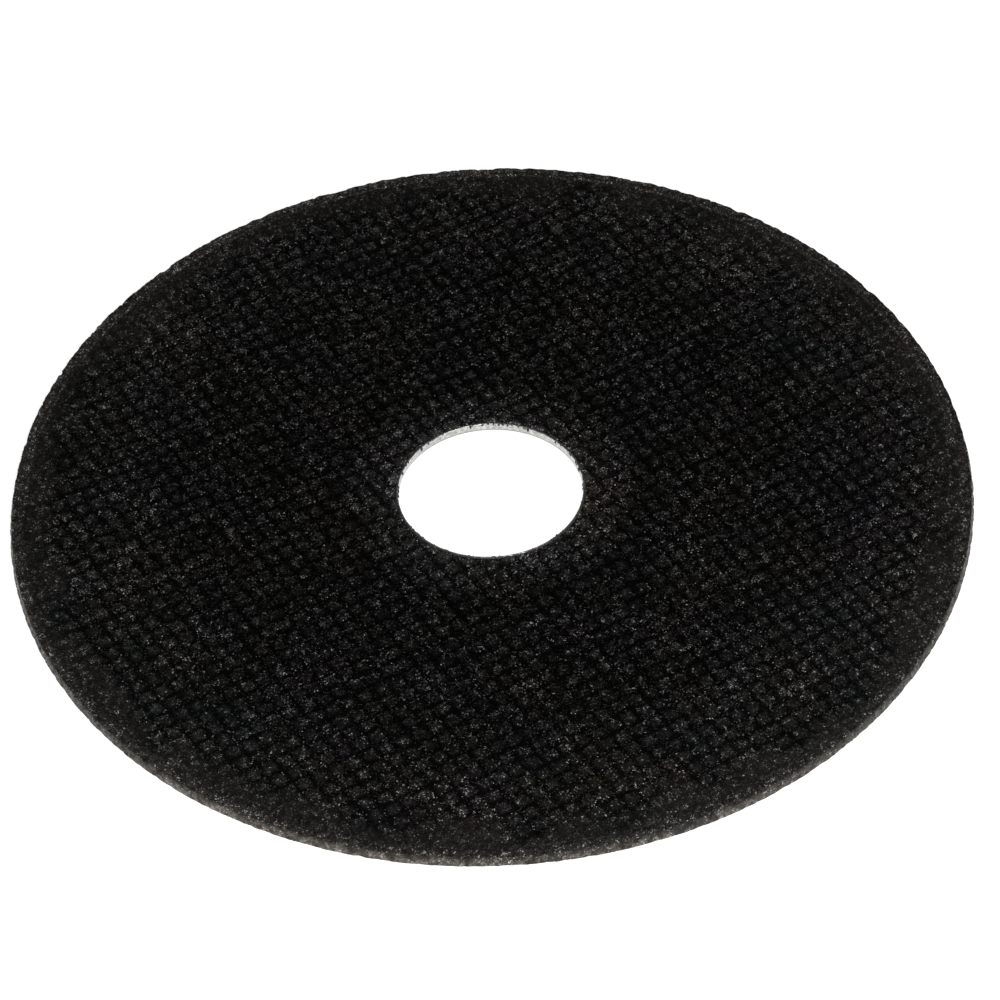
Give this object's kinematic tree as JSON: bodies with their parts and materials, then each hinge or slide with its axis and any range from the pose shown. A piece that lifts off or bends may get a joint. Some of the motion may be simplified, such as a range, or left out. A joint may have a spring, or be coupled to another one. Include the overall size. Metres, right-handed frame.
{
  "type": "cut-off wheel",
  "caption": "Thin flat black abrasive disc with a square mesh relief on its face and a steel-lined bore, clamped on a grinder to cut metal.",
  "frame": {"origin": "centre of the bore, on the wheel's back face, which it lies on", "axes": "+Z along the bore axis, up through the wheel to the pressed face; X and Y are across the wheel"},
  "size_m": [0.115, 0.115, 0.0012],
  "materials": {
    "bonded_abrasive": "gritty, pressed from black resin-bonded grit, with a square mesh relief",
    "tinned_steel": "thin pressed sheet, dull bright"
  },
  "bodies": {
    "root": {"abrasive_wheel": "bonded_abrasive", "steel_bush": "tinned_steel"}
  },
  "joints": []
}
